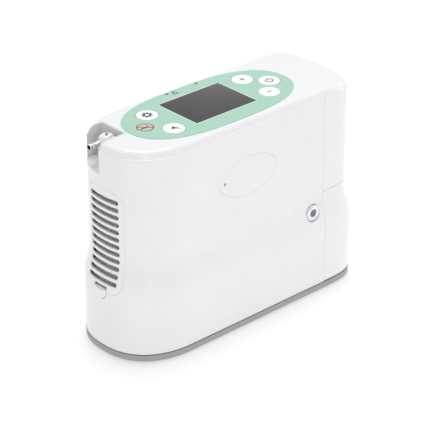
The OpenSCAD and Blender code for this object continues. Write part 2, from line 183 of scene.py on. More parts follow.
def join(name, parts):
    """One object from several, keeping each part's material slots."""
    verts, faces, mats, index = [], [], [], []
    for part in parts:
        start = len(verts)
        part.data.transform(part.matrix_world)
        verts += [tuple(v.co) for v in part.data.vertices]
        slots = [m for m in part.data.materials] or [None]
        for m in slots:
            if m not in mats:
                mats.append(m)
        for p in part.data.polygons:
            faces.append([start + v for v in p.vertices])
            index.append(mats.index(slots[min(p.material_index, len(slots) - 1)]))
    obj = new_object(name, verts, faces)
    for m in mats:
        if m is not None:
            obj.data.materials.append(m)
    for p, i in zip(obj.data.polygons, index):
        p.material_index = i
    for part in parts:
        bpy.data.objects.remove(part)
    return obj


def shade(obj, angle=32):
    """Smooth shading with edges sharper than the angle kept crisp."""
    obj.data.shade_smooth()
    obj.data.set_sharp_from_angle(angle=math.radians(angle))
    return obj


def skin_normals(obj, rings, limit=0.02 * MM, angle=32):
    """Smooth normals where obj lies on the surface through the rings, sharp edges elsewhere."""
    verts, faces = bridge(rings)
    tris = [t for f in faces for t in ((f[0], f[1], f[2]), (f[0], f[2], f[3]))]
    corner = verts[np.array(tris)]
    normal = np.cross(corner[:, 1] - corner[:, 0], corner[:, 2] - corner[:, 0])
    vertex_normal = np.zeros_like(verts)
    for i in range(3):
        np.add.at(vertex_normal, np.array(tris)[:, i], normal)
    vertex_normal /= np.linalg.norm(vertex_normal, axis=1)[:, None] + 1e-20
    tree = BVHTree.FromPolygons([Vector(v) for v in verts], tris)
    shade(obj, angle)
    mesh = obj.data
    normals = [(0.0, 0.0, 0.0)] * len(mesh.loops)
    for p in mesh.polygons:
        at, facing, tri, off = tree.find_nearest(p.center)
        if off > limit or abs(facing.dot(p.normal)) < 0.9:
            continue
        flip = 1 if vertex_normal[tris[tri][0]].dot(p.normal) > 0 else -1
        for loop in p.loop_indices:
            here = mesh.vertices[mesh.loops[loop].vertex_index].co
            at, facing, tri, off = tree.find_nearest(here)
            a, b, c = (Vector(verts[i]) for i in tris[tri])
            weights = barycentric(at, a, b, c)
            n = sum(w * vertex_normal[i] for w, i in zip(weights, tris[tri]))
            normals[loop] = tuple(flip * n / np.linalg.norm(n))
    mesh.normals_split_custom_set(normals)
    return obj


def barycentric(p, a, b, c):
    """Weights of the corners a, b and c at the point p."""
    v0, v1, v2 = b - a, c - a, p - a
    d00, d01, d11 = v0.dot(v0), v0.dot(v1), v1.dot(v1)
    d20, d21 = v2.dot(v0), v2.dot(v1)
    under = d00 * d11 - d01 * d01
    v = (d11 * d20 - d01 * d21) / under
    w = (d00 * d21 - d01 * d20) / under
    return 1 - v - w, v, w


def prism(name, points, low, high, axis="z"):
    """Closed prism of a 2D outline between two heights, along z, x or y."""
    points = np.asarray(points)
    n = len(points)
    if axis == "x":
        place = lambda h: np.column_stack([np.full(n, h), points])
    elif axis == "y":
        place = lambda h: np.column_stack([points[:, 0], np.full(n, h), points[:, 1]])
    else:
        place = lambda h: np.column_stack([points, np.full(n, h)])
    verts, faces = bridge([place(low), place(high)], cap_low=True, cap_high=True)
    obj = new_object(name, verts, faces)
    outward(obj)
    return obj


def outward(obj):
    """Turns every face outwards."""
    work = bmesh.new()
    work.from_mesh(obj.data)
    bmesh.ops.recalc_face_normals(work, faces=work.faces)
    work.to_mesh(obj.data)
    work.free()


def rounded_rect(cx, cy, half_x, half_y, r, steps=10):
    """Rectangle outline with round corners."""
    points = []
    for sx, sy, start in ((1, 1, 0), (-1, 1, 90), (-1, -1, 180), (1, -1, 270)):
        for i in range(steps + 1):
            a = math.radians(start + 90 * i / steps)
            x = cx + sx * (half_x - r) + r * math.cos(a)
            points.append((x, cy + sy * (half_y - r) + r * math.sin(a)))
    return points


def circle(cx, cy, r, steps=48):
    turn = [2 * math.pi * i / steps for i in range(steps)]
    return [(cx + r * math.cos(a), cy + r * math.sin(a)) for a in turn]


def ellipse(cx, cy, a, b, steps=96):
    turn = [2 * math.pi * i / steps for i in range(steps)]
    return [(cx + a * math.cos(t), cy + b * math.sin(t)) for t in turn]


def turned(name, profile, origin, axis, steps=72):
    """Surface of revolution: the profile is (radius, distance along axis) in millimetres."""
    way = Vector(axis).normalized()
    side = way.orthogonal().normalized()
    up = way.cross(side)
    verts, faces = [], []
    start = Vector(origin)
    rows = []
    for r, h in [(a * MM, b * MM) for a, b in profile]:
        if r < 1e-7:
            rows.append([len(verts)])
            verts.append(start + way * h)
        else:
            rows.append(list(range(len(verts), len(verts) + steps)))
            for i in range(steps):
                a = 2 * math.pi * i / steps
                verts.append(start + way * h + (side * math.cos(a) + up * math.sin(a)) * r)
    for low, high in zip(rows, rows[1:]):
        for i in range(steps):
            k = (i + 1) % steps
            quad = [low[i % len(low)], low[k % len(low)], high[k % len(high)], high[i % len(high)]]
            quad = list(dict.fromkeys(quad))
            if len(quad) > 2:
                faces.append(quad)
    obj = new_object(name, verts, faces)
    outward(obj)
    return shade(obj, 30)


def finish(obj, body, material, replaces=()):
    """Gives a piece its material, its body and the CAD nodes it stands for."""
    obj.data.materials.clear()
    obj.data.materials.append(material)
    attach(obj, body)
    if replaces:
        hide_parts(*replaces)
    return obj


# ---------------------------------------------------------------- finishes
def tree_of(name):
    """New material with its nodes, links and main shader."""
    material = bpy.data.materials.new(name)
    material.use_nodes = True
    nodes = material.node_tree.nodes
    return material, nodes, material.node_tree.links, nodes["Principled BSDF"]


def mottled(nodes, links, shader, colour, spread, scale):
    """Colour that drifts a little over the piece."""
    where = nodes.new("ShaderNodeTexCoord")
    noise = nodes.new("ShaderNodeTexNoise")
    noise.inputs["Scale"].default_value = scale
    noise.inputs["Detail"].default_value = 3
    links.new(where.outputs["Object"], noise.inputs["Vector"])
    ramp = nodes.new("ShaderNodeValToRGB")
    ramp.color_ramp.elements[0].position = 0.3
    ramp.color_ramp.elements[1].position = 0.7
    ramp.color_ramp.elements[0].color = [c * (1 - spread) for c in colour] + [1]
    ramp.color_ramp.elements[1].color = [min(1, c * (1 + spread)) for c in colour] + [1]
    links.new(noise.outputs["Fac"], ramp.inputs["Fac"])
    links.new(ramp.outputs["Color"], shader.inputs["Base Color"])
    return where


def grained(nodes, links, shader, where, scale, depth, kind="ShaderNodeTexNoise", strength=0.4):
    """Fine surface relief."""
    grain = nodes.new(kind)
    grain.inputs["Scale"].default_value = scale
    links.new(where.outputs["Object"], grain.inputs["Vector"])
    bump = nodes.new("ShaderNodeBump")
    bump.inputs["Strength"].default_value = strength
    bump.inputs["Distance"].default_value = depth
    height = "Distance" if kind == "ShaderNodeTexVoronoi" else "Fac"
    links.new(grain.outputs[height], bump.inputs["Height"])
    links.new(bump.outputs["Normal"], shader.inputs["Normal"])


def worn(nodes, links, shader, where, low, high, scale):
    """Roughness that varies between two values."""
    noise = nodes.new("ShaderNodeTexNoise")
    noise.inputs["Scale"].default_value = scale
    links.new(where.outputs["Object"], noise.inputs["Vector"])
    span = nodes.new("ShaderNodeMapRange")
    span.inputs["To Min"].default_value = low
    span.inputs["To Max"].default_value = high
    links.new(noise.outputs["Fac"], span.inputs["Value"])
    links.new(span.outputs["Result"], shader.inputs["Roughness"])


# Mottled colour, uneven roughness and fine grain for moulded parts
def plastic(name, colour, rough=0.35, grain=900, depth=0.02 * MM, spread=0.012, coat=0.0):
    material, nodes, links, shader = tree_of(name)
    where = mottled(nodes, links, shader, colour, spread, 30)
    worn(nodes, links, shader, where, rough - 0.04, rough + 0.05, 140)
    grained(nodes, links, shader, where, grain, depth)
    shader.inputs["Coat Weight"].default_value = coat
    shader.inputs["Coat Roughness"].default_value = 0.12
    return material


# The same for metal parts
def metal(name, colour, rough=0.2, depth=0.01 * MM):
    material, nodes, links, shader = tree_of(name)
    where = mottled(nodes, links, shader, colour, 0.03, 60)
    shader.inputs["Metallic"].default_value = 1
    worn(nodes, links, shader, where, rough * 0.7, rough * 1.3, 200)
    grained(nodes, links, shader, where, 1500, depth, strength=0.3)
    return material


def foam_finish():
    """Open-cell foam: dark pits between paler strands."""
    material, nodes, links, shader = tree_of("foam")
    where = nodes.new("ShaderNodeTexCoord")
    cells = nodes.new("ShaderNodeTexVoronoi")
    cells.inputs["Scale"].default_value = 700
    links.new(where.outputs["Object"], cells.inputs["Vector"])
    ramp = nodes.new("ShaderNodeValToRGB")
    ramp.color_ramp.elements[0].color = (0.18, 0.18, 0.185, 1)
    ramp.color_ramp.elements[1].color = (0.46, 0.46, 0.465, 1)
    links.new(cells.outputs["Distance"], ramp.inputs["Fac"])
    links.new(ramp.outputs["Color"], shader.inputs["Base Color"])
    shader.inputs["Roughness"].default_value = 0.95
    grained(nodes, links, shader, where, 700, 0.4 * MM, "ShaderNodeTexVoronoi", 1.0)
    return material


def tube_finish():
    """Clear silicone tube."""
    material, nodes, links, shader = tree_of("silicone")
    where = mottled(nodes, links, shader, (0.80, 0.82, 0.84), 0.03, 60)
    grained(nodes, links, shader, where, 300, 0.03 * MM)
    shader.inputs["Roughness"].default_value = 0.3
    shader.inputs["Transmission Weight"].default_value = 0.35
    return material


def board_finish():
    """Circuit board: solder mask with paler tracks."""
    material, nodes, links, shader = tree_of("board")
    where = nodes.new("ShaderNodeTexCoord")
    tracks = nodes.new("ShaderNodeTexBrick")
    tracks.inputs["Scale"].default_value = 160
    tracks.inputs["Color1"].default_value = (0.02, 0.13, 0.05, 1)
    tracks.inputs["Color2"].default_value = (0.025, 0.16, 0.06, 1)
    tracks.inputs["Mortar"].default_value = (0.05, 0.24, 0.10, 1)
    tracks.inputs["Mortar Size"].default_value = 0.03
    links.new(where.outputs["Object"], tracks.inputs["Vector"])
    links.new(tracks.outputs["Color"], shader.inputs["Base Color"])
    grained(nodes, links, shader, where, 500, 0.03 * MM)
    shader.inputs["Roughness"].default_value = 0.35
    return material


CASE = plastic("case_white", (0.83, 0.832, 0.845), 0.30, coat=0.35)
# Darker copy of the case white for the walls and floor of the nozzle pocket: painted shade of the recess
RECESS_PAINTED_SHADE = plastic("recess_white_painted_shade", (0.68, 0.682, 0.69), 0.42)
BUTTON = plastic("button_white", (0.90, 0.90, 0.905), 0.30)
MINT = plastic("label_mint", (0.364, 0.617, 0.486), 0.42, grain=1600, depth=0.01 * MM)
GLASS = plastic("screen_glass", (0.05, 0.05, 0.051), 0.16, grain=60, depth=0.004 * MM)
DISPLAY = plastic("display_grey", (0.30, 0.30, 0.32), 0.5)
BASE = plastic("base_grey", (0.36, 0.36, 0.362), 0.48, grain=1100, depth=0.05 * MM)
RUBBER = plastic("black_rubber", (0.035, 0.035, 0.037), 0.65, grain=800, depth=0.06 * MM)
LAMP = plastic("lamp_red", (0.20, 0.012, 0.018), 0.15, coat=0.6)
RED_INK = plastic("red_ink", (0.60, 0.025, 0.035), 0.4)
DARK_INK = plastic("dark_ink", (0.035, 0.035, 0.04), 0.4)
# Dark plastic of the real dark parts; the plug in the key hole of the outlet boss and the cone in the nozzle
# bore also use it, as painted shade
DARK = plastic("dark_plastic", (0.045, 0.045, 0.048), 0.5)
NICKEL = metal("nickel", (0.80, 0.80, 0.81), 0.28)
SATIN = metal("satin_nickel", (0.82, 0.82, 0.84), 0.4)
STEEL = metal("steel", (0.58, 0.58, 0.60), 0.3)
ALUMINIUM = metal("aluminium", (0.72, 0.72, 0.74), 0.42, depth=0.03 * MM)
BRASS = metal("brass", (0.62, 0.47, 0.20), 0.3)
BLUE = plastic("battery_blue", (0.05, 0.16, 0.50), 0.3, coat=0.3)
FOAM = foam_finish()
TUBE = tube_finish()
BOARD = board_finish()
FINISHES = {
    "case_white": CASE, "button_white": BUTTON, "label_mint": MINT, "screen_glass": GLASS,
    "display_grey": DISPLAY, "base_grey": BASE, "black_rubber": RUBBER, "lamp_red": LAMP,
    "board_green": BOARD, "filter_foam": FOAM, "nickel": NICKEL, "dark_plastic": DARK,
    "steel": STEEL, "battery_blue": BLUE, "aluminium": ALUMINIUM, "brass": BRASS, "clear_tube": TUBE,
}

# ---------------------------------------------------------------- the case
POCKET_LOW, POCKET_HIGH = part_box("nozzle_pocket")
POCKET_Y = (POCKET_LOW.y + POCKET_HIGH.y) / 2
POCKET_HALF = (POCKET_HIGH.y - POCKET_LOW.y) / 2
POCKET_WALL = 1.6 * MM
POCKET_FLOOR = POCKET_LOW.z + POCKET_WALL
POCKET_LIP = 0.9 * MM             # the floor shows this much of its edge at the nose
POCKET_BACK = POCKET_HIGH.x
LATCH_LOW, LATCH_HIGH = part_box("filter_latch")
LATCH_R = 6 * MM                  # rounding of the bottom of the tab
INLET_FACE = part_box("dc_inlet_ring")[0].y
RELEASE_LOW, RELEASE_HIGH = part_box("battery_release")
COVER_TOP = COVER_HIGH.z - 3.4 * MM      # the hooks stand above the panel
COVER_Z = (COVER_LOW.z + COVER_TOP) / 2
COVER_HALF = (COVER_HIGH.y, (COVER_TOP - COVER_LOW.z) / 2)
COVER_R = 10 * MM                 # rounding of the corners of the filter cover
VENT_R = 8 * MM                   # and of the exhaust grille
VENT_PITCH = 5.4 * MM             # distance between the slots of the grille
HAIR = 0.02 * MM                  # clearance between a cover and its outline
FAR = 140 * MM                    # beyond the object in any direction
ABOVE = 2 * FAR                   # over the top of everything
PANEL_LOW = 150 * MM              # holes in the top panel start here, inside the case
NOSE_CUT = -85 * MM               # cuts in the nose end here
SIDE_CUT = 20 * MM                # cuts in the two long sides end this far from the middle


def side_fitting(node):
    """Centre and half size, along x and z, of a node in a long side."""
    low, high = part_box(node)
    centre = ((low.x + high.x) / 2, (low.z + high.z) / 2)
    return centre, ((high.x - low.x) / 2, (high.z - low.z) / 2)


OVAL, OVAL_HALF = side_fitting("side_cover")
VENT, VENT_HALF = side_fitting("exhaust_grille")
INLET, INLET_HALF = side_fitting("dc_inlet_ring")


def wall_levels(low, high, step=2.2 * MM):
    """Evenly spaced heights, about a step apart."""
    count = max(2, int((high - low) / step) + 1)
    return [low + (high - low) * i / (count - 1) for i in range(count)]


def rounding(z, inset, radius, up):
    """Rings of a quarter round at an edge of a wall; up is 1 at a top edge and -1 at a bottom one."""
    steps = [(1 - math.sin(math.radians(a)), 1 - math.cos(math.radians(a))) for a in (0, 22, 45, 68, 90)]
    rings = [ring(z - up * radius * down, inset(z) + radius * back) for down, back in steps]
    return rings if up > 0 else rings[::-1]


def sleeve(name, low, high, thick=WALL, edge=0.35 * MM, rim=0.35 * MM):
    """Wall of the case between two heights, its outer edges rounded."""
    outer = rounding(low, side_inset, edge, -1) if edge else [ring(low, side_inset(low))]
    outer += [ring(z, side_inset(z)) for z in wall_levels(low + edge, high - rim)[1:-1]]
    outer += rounding(high, side_inset, rim, 1) if rim else [ring(high, side_inset(high))]
    inner = [ring(z, side_inset(z) + thick) for z in wall_levels(low, high, 8 * MM)]
    verts, faces = bridge(outer + inner[::-1], closed=True)
    obj = new_object(name, verts, faces)
    outward(obj)
    return obj, outer


def cube(name, low, high):
    """Box between two corners."""
    corners = [(low[0], low[1]), (high[0], low[1]), (high[0], high[1]), (low[0], high[1])]
    return prism(name, corners, low[2], high[2])


def cover_prism(name, gap):
    """Outline of the filter cover, through the wall at the nose."""
    outline = rounded_rect(0, COVER_Z, COVER_HALF[0] + gap, COVER_HALF[1] + gap, COVER_R, 14)
    return prism(name, outline, -FAR, NOSE_CUT, "x")


def near_prism(name, outline):
    """Outline through the wall on the side of the DC inlet."""
    return prism(name, outline, -FAR, -SIDE_CUT, "y")


def vent_prism(name, gap):
    """Outline of the exhaust grille, through the wall on its side."""
    outline = rounded_rect(*VENT, VENT_HALF[0] + gap, VENT_HALF[1] + gap, VENT_R)
    return prism(name, outline, SIDE_CUT, FAR, "y")


def oval_prism(name, gap):
    """Outline of the oval side cover, through the wall."""
    return near_prism(name, ellipse(*OVAL, OVAL_HALF[0] + gap, OVAL_HALF[1] + gap))


def panel_hole(obj, outline):
    """Cuts an outline through the top panel."""
    return combine(obj, prism("cut", outline, PANEL_LOW, ABOVE))


def screen_hole(obj, gap):
    """Cuts the opening of the screen through the top panel."""
    low = (SCREEN_LOW.x - gap, SCREEN_LOW.y - gap, PANEL_LOW)
    return combine(obj, cube("cut", low, (SCREEN_HIGH.x + gap, SCREEN_HIGH.y + gap, ABOVE)))


def latch_prism(name, gap, top):
    """Tab outline with a rounded bottom, through the wall at the nose."""
    half, low, r = LATCH_HIGH.y + gap, LATCH_LOW.z - gap, LATCH_R + gap
    outline = [(half, top), (-half, top)]
    for degrees in range(180, 361, 10):
        y, z = r * math.cos(math.radians(degrees)), r * math.sin(math.radians(degrees))
        outline.append((y + math.copysign(half - r, y) if abs(y) > 1e-9 else 0, low + r + z))
    return prism(name, outline, -FAR, -95 * MM, "x")


def pocket_prism(name, gap, low):
    """Space of the nozzle pocket, with rounded inner corners."""
    half = POCKET_HALF + gap
    length = 60 * MM
    corner = max(1.2 * MM, 1.5 * MM + gap)
    outline = rounded_rect(POCKET_BACK + gap - length / 2, POCKET_Y, length / 2, half, corner, 6)
    return prism(name, outline, low, ABOVE)


def main_housing():
    """Front sleeve of the case, with the openings for its covers."""
    obj, skin = sleeve("housing_shell", CASE_FLOOR, SPLIT_Z + 0.05 * MM, rim=0.9 * MM)
    combine(obj, cube("cut", (SEAM_X, -FAR, -FAR), (FAR, FAR, ABOVE)))
    combine(obj, cover_prism("cut", SEAM))
    combine(obj, latch_prism("cut", 0.4 * MM, COVER_LOW.z + 8 * MM))
    combine(obj, pocket_prism("cut", HAIR, POCKET_FLOOR - POCKET_LIP))
    combine(obj, oval_prism("cut", SEAM))
    combine(obj, vent_prism("cut", SEAM))
    combine(obj, near_prism("cut", circle(*INLET, INLET_HALF[0] + 0.2 * MM)))
    skin_normals(obj, skin)
    return finish(obj, "case", CASE, ["main_housing"])


def rear_cover():
    """Upper rear moulding, over the battery pack."""
    obj, skin = sleeve("rear_cover_shell", BATTERY_TOP + 0.2 * MM, SPLIT_Z + 0.05 * MM, rim=0.9 * MM)
    combine(obj, cube("cut", (-FAR, -FAR, -FAR), (SEAM_X + REAR_SEAM, FAR, ABOVE)))
    skin_normals(obj, skin)
    return finish(obj, "case", CASE, ["rear_cover"])


# Height and inset in millimetres of points up the rounded shoulder of the top cover
SHOULDER = [(160.3, 5.25), (161.5, 5.75), (162.8, 6.3), (163.9, 6.95), (164.75, 7.8), (165.25, 8.8)]
SHOULDER.append((CASE_TOP / MM, 10.2))


def spline(before, a, b, after, u):
    """Smooth curve from a to b that keeps the slope of their neighbours, u from 0 to 1."""
    bend = before - 2.5 * a + 2 * b - 0.5 * after
    twist = 1.5 * (a - b) + 0.5 * (after - before)
    return a + 0.5 * u * (b - before) + u * u * bend + u ** 3 * twist


def crown(t):
    """Height and inset along the shoulder, t from 0 at the joint to 1 on the flat."""
    last = len(SHOULDER) - 1
    i = min(int(t * last), last - 1)
    four = [SHOULDER[max(0, min(last, k))] for k in (i - 1, i, i + 1, i + 2)]
    return tuple(MM * spline(*values, t * last - i) for values in zip(*four))


def button_spots():
    """Name and centre in plan of each push button."""
    for name in ("settings", "mute", "plus", "minus", "power"):
        low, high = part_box("button_" + name)
        yield name, (low.x + high.x) / 2, (low.y + high.y) / 2


def lamp_spots():
    """Centre in plan of each indicator light."""
    mesh = frame["nodes"]["status_lights"].data
    middle = sum(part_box("status_lights"), Vector()).x / 2
    for left in (True, False):
        group = [v.co for v in mesh.vertices if (v.co.x < middle) == left]
        xs, ys = [p.x for p in group], [p.y for p in group]
        yield (min(xs) + max(xs)) / 2, (min(ys) + max(ys)) / 2


def top_cover():
    """Lid with a rounded shoulder and a flat top."""
    outer = [ring(*crown(i / 24)) for i in range(25)]
    lid_low = 160.22 * MM
    start = ring(lid_low, 5.3 * MM)
    inner = [ring(163 * MM, 11.6 * MM), ring(162 * MM, 8.1 * MM), ring(lid_low, 6.9 * MM)]
    verts, faces = bridge(inner + [start] + outer, cap_low=True, cap_high=True)
    obj = new_object("top_cover_shell", verts, faces)
    outward(obj)
    for name, x, y in button_spots():
        panel_hole(obj, circle(x, y, BUTTON_R + 0.4 * MM))
    for x, y in lamp_spots():
        panel_hole(obj, circle(x, y, LAMP_HOLE_R, 24))
    screen_hole(obj, MM)
    combine(obj, pocket_prism("cut", HAIR, PANEL_LOW))
    skin_normals(obj, outer)
    return finish(obj, "case", CASE, ["top_cover"])


def nozzle_pocket():
    """Recess at the nose: floor and walls follow the case outside; they take a darker copy of the case
    white, painted shade of the recess.
    """
    levels = [(z, side_inset(z)) for z in wall_levels(POCKET_LOW.z, SPLIT_Z)]
    levels += [crown(i / 16) for i in range(17)]
    outer = [ring(z, inset + 0.3 * MM) for z, inset in levels]
    verts, faces = bridge(outer, cap_low=True, cap_high=True)
    obj = new_object("nozzle_pocket_walls", verts, faces)
    outward(obj)
    combine(obj, pocket_prism("keep", 0, POCKET_LOW.z), "INTERSECT")
    combine(obj, cube("cut", (-FAR, -FAR, 0), (-99 * MM, FAR, POCKET_FLOOR - POCKET_LIP - HAIR)))
    combine(obj, pocket_prism("cut", -POCKET_WALL, POCKET_FLOOR))
    # The darker white of the pocket is painted shade of the recess
    skin_normals(obj, outer)
    return finish(obj, "case", RECESS_PAINTED_SHADE, ["nozzle_pocket"])


def base_plate():
    """Grey tray with softened edges, and holes for its feet and screws."""
    levels = [(BASE_LOW.z, 1.2), (BASE_LOW.z + 0.3 * MM, 0.5), (BASE_LOW.z + MM, 0.08)]
    levels += [(BASE_LOW.z + 1.6 * MM, 0)]
    levels += [(BASE_HIGH.z - 0.4 * MM, 0), (BASE_HIGH.z - 0.1 * MM, 0.12), (BASE_HIGH.z, 0.4)]
    outer = [ring(z, inset * MM) for z, inset in levels]
    inner = [ring(BASE_HIGH.z, 3.4 * MM), ring(3.4 * MM, 3.4 * MM)]
    verts, faces = bridge(outer + inner, cap_low=True, cap_high=True)
    obj = new_object("base_tray", verts, faces)
    outward(obj)
    for x, y in node_spots("feet"):
        combine(obj, prism("cut", circle(x, y, 6.35 * MM), -FAR, 2.02 * MM))
    for x, y in node_spots("case_screws"):
        combine(obj, prism("cut", circle(x, y, 3.3 * MM), -FAR, 2.2 * MM))
        combine(obj, prism("cut", circle(x, y, 1.7 * MM), -FAR, FAR))
    skin_normals(obj, outer[1:-1])
    return finish(obj, "case", BASE, ["base_plate"])


def node_spots(node):
    """Centre in plan of each of the four separate solids of a node."""
    points = np.array([v.co[:] for v in frame["nodes"][node].data.vertices])
    middle = (points.min(0) + points.max(0)) / 2
    for right in (False, True):
        for far in (False, True):
            group = points[((points[:, 0] > middle[0]) == right) & ((points[:, 1] > middle[1]) == far)]
            yield tuple((group.min(0) + group.max(0))[:2] / 2)


def base_gasket():
    """Dark bead between the base and the case."""
    low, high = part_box("base_gasket")
    outer = [ring(low.z, 0.95 * MM), ring((low.z + high.z) / 2, 0.8 * MM), ring(high.z, 0.95 * MM)]
    inner = [ring(high.z, 2.4 * MM), ring(low.z, 2.4 * MM)]
    verts, faces = bridge(outer + inner, closed=True)
    obj = new_object("base_gasket_bead", verts, faces)
    outward(obj)
    shade(obj, 50)
    return finish(obj, "case", RUBBER, ["base_gasket"])


def feet():
    """Rubber feet with a sunk ring."""
    profile = [(0, 2), (6.2, 2), (6.2, 0.5), (6.0, 0.15), (5.6, 0), (4.6, 0), (4.4, 0.35)]
    profile += [(1.6, 0.35), (1.4, 0.1), (0, 0.1)]
    parts = [turned("foot", profile, (x, y, 0), (0, 0, 1), 48) for x, y in node_spots("feet")]
    obj = shade(join("rubber_feet", parts), 40)
    return finish(obj, "case", RUBBER, ["feet"])


# ---------------------------------------------------------------- top panel
LAMP_HOLE_R = 1.3 * MM
CAP_LOW = 162.6                   # underside of the button caps, in millimetres
SIGN_DX = 60.1 * MM               # from the middle of the label to the sign
INK = 0.05 * MM                   # thickness of a printed mark
LABEL_POWER_X, LABEL_POWER_Y = 2.9, 2.2     # roundness of the label outline


def label_outline(count=192):
    """Rounded outline of the coloured label."""
    half_x, half_y = (LABEL_HIGH.x - LABEL_LOW.x) / 2, (LABEL_HIGH.y - LABEL_LOW.y) / 2
    points = []
    for i in range(count):
        a = 2 * math.pi * i / count
        c, s = math.cos(a), math.sin(a)
        x = math.copysign(abs(c) ** (2 / LABEL_POWER_X), c)
        y = math.copysign(abs(s) ** (2 / LABEL_POWER_Y), s)
        points.append((LABEL_X + half_x * x, half_y * y))
    return points


def control_label():
    """Coloured film on the flat top."""
    obj = prism("label_film", label_outline(), CASE_TOP - 0.1 * MM, LABEL_TOP)
    for name, x, y in button_spots():
        panel_hole(obj, circle(x, y, BUTTON_R + 0.25 * MM, 72))
    for x, y in lamp_spots():
        panel_hole(obj, circle(x, y, LAMP_HOLE_R, 24))
    screen_hole(obj, 0)
    shade(obj, 30)
    return finish(obj, "case", MINT, ["control_label"])


def framed(name, low, high, width, z0, z1):
    """Thin rectangular border with rounded corners."""
    cx, cy = (low[0] + high[0]) / 2, (low[1] + high[1]) / 2
    hx, hy = (high[0] - low[0]) / 2, (high[1] - low[1]) / 2
    outer = rounded_rect(cx, cy, hx, hy, 1.6 * MM, 8)
    inner = rounded_rect(cx, cy, hx - width, hy - width, 1.1 * MM, 8)
    return band(name, outer, inner, z0, z1)


def band(name, outer, inner, z0, z1):
    """Closed flat ring between two outlines of equal length."""
    rings = [np.column_stack([np.array(p), np.full(len(p), z)])
             for p, z in ((outer, z0), (outer, z1), (inner, z1), (inner, z0))]
    verts, faces = bridge(rings, closed=True)
    obj = new_object(name, verts, faces)
    outward(obj)
    return shade(obj, 30)


def screen():
    """Dark window with a pale border."""
    low, high = (SCREEN_LOW.x, SCREEN_LOW.y), (SCREEN_HIGH.x, SCREEN_HIGH.y)
    border = framed("screen_border", low, high, 0.55 * MM, CASE_TOP, LABEL_TOP + 0.03 * MM)
    finish(border, "case", BUTTON)
    cx, cy = (low[0] + high[0]) / 2, (low[1] + high[1]) / 2
    hx, hy = (high[0] - low[0]) / 2 - 0.6 * MM, (high[1] - low[1]) / 2 - 0.6 * MM
    levels = [(SCREEN_LOW.z, 0), (LABEL_TOP - 0.2 * MM, 0), (LABEL_TOP - 0.06 * MM, 0.08), (LABEL_TOP, 0.25)]
    rings = []
    for z, d in levels:
        flat = np.array(rounded_rect(cx, cy, hx - d * MM, hy - d * MM, 1.1 * MM, 8))
        rings.append(np.column_stack([flat, np.full(len(flat), z)]))
    verts, faces = bridge(rings, cap_low=True, cap_high=True)
    obj = new_object("screen_window", verts, faces)
    outward(obj)
    shade(obj, 25)
    return finish(obj, "case", GLASS, ["screen_lens"])


def button(name, x, y):
    """Push button with a soft rim, a shallow dish and its mark."""
    low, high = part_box("button_" + name)
    top, r = (high.z - low.z) / MM, BUTTON_R / MM
    stem_r, cap_low = 2.2, CAP_LOW - low.z / MM
    profile = [(0, 0), (stem_r, 0), (stem_r, cap_low), (r, cap_low), (r, top - 0.5)]
    profile += [(r - 0.12, top - 0.2), (r - 0.4, top - 0.05), (r - 0.9, top)]
    profile += [(r - 1.4, top - 0.03), (r - 2.2, top - 0.12), (0, top - 0.12)]
    obj = turned("button_cap_" + name, profile, (x, y, low.z), (0, 0, 1), 96)
    finish(obj, name + "_button", BUTTON, ["button_" + name])
    ICONS[name](x, y, high.z - 0.13 * MM, name + "_button")


def stamped(name, outlines, z, body, material=DARK_INK):
    """Printed mark: flat shapes a hair above a surface."""
    parts = [prism("mark", points, z, z + INK) for points in outlines]
    return finish(shade(join(name, parts), 30), body, material)


def bar(x0, y0, x1, y1, width):
    """Corners of a straight stroke."""
    along = Vector((x1 - x0, y1 - y0)).normalized()
    side = Vector((-along.y, along.x)) * width / 2
    start = [(x0 + side.x, y0 + side.y), (x0 - side.x, y0 - side.y)]
    return start + [(x1 - side.x, y1 - side.y), (x1 + side.x, y1 + side.y)]


def at(x, y, points):
    """Points in millimetres, moved to a place in metres."""
    return [(x + px * MM, y + py * MM) for px, py in points]


def polar(r, degrees):
    """Point at a radius and an angle."""
    return r * math.cos(math.radians(degrees)), r * math.sin(math.radians(degrees))


def arc_points(r, a0, a1, steps=24):
    """Points on an arc between two angles in degrees."""
    return [polar(r, a0 + (a1 - a0) * i / steps) for i in range(steps + 1)]


def gear_icon(x, y, z, body):
    """Gear: per tooth, four points given by their turn and radius, round a hole."""
    teeth, hole_r = 8, 1.6
    tooth = ((-13, 3.1), (-9, 4.2), (9, 4.2), (13, 3.1))
    outer = [polar(r, 360 / teeth * i + turn) for i in range(teeth) for turn, r in tooth]
    inner = [polar(hole_r, 360 / teeth * i + turn) for i in range(teeth) for turn, r in tooth]
    obj = band("settings_mark", at(x, y, outer), at(x, y, inner), z, z + INK)
    finish(obj, body, DARK_INK)


def mute_icon(x, y, z, body):
    speaker = [(2.1, -2.7), (2.9, -1.9), (1.4, 0.6), (0.9, 3.0), (-2.6, -0.5), (-0.2, -1.0)]
    stamped("mute_mark", [at(x, y, speaker), at(x, y, bar(2.0, -2.8, 3.4, -3.4, 0.5))], z, body)


def plus_icon(x, y, z, body):
    strokes = bar(-2.4, 0, 2.4, 0, 0.75), bar(0, -2.4, 0, 2.4, 0.75)
    stamped("plus_mark", [at(x, y, stroke) for stroke in strokes], z, body)


def minus_icon(x, y, z, body):
    stamped("minus_mark", [at(x, y, bar(-2.1, 0, 2.1, 0, 0.8))], z, body)


def power_icon(x, y, z, body):
    arc = arc_points(3.2, 118, 422) + arc_points(2.25, 422, 118)
    stamped("power_mark", [at(x, y, arc), at(x, y, bar(0, 0.2, 0, 3.4, 0.8))], z, body)


ICONS = {
    "settings": gear_icon, "mute": mute_icon, "plus": plus_icon,
    "minus": minus_icon, "power": power_icon,
}


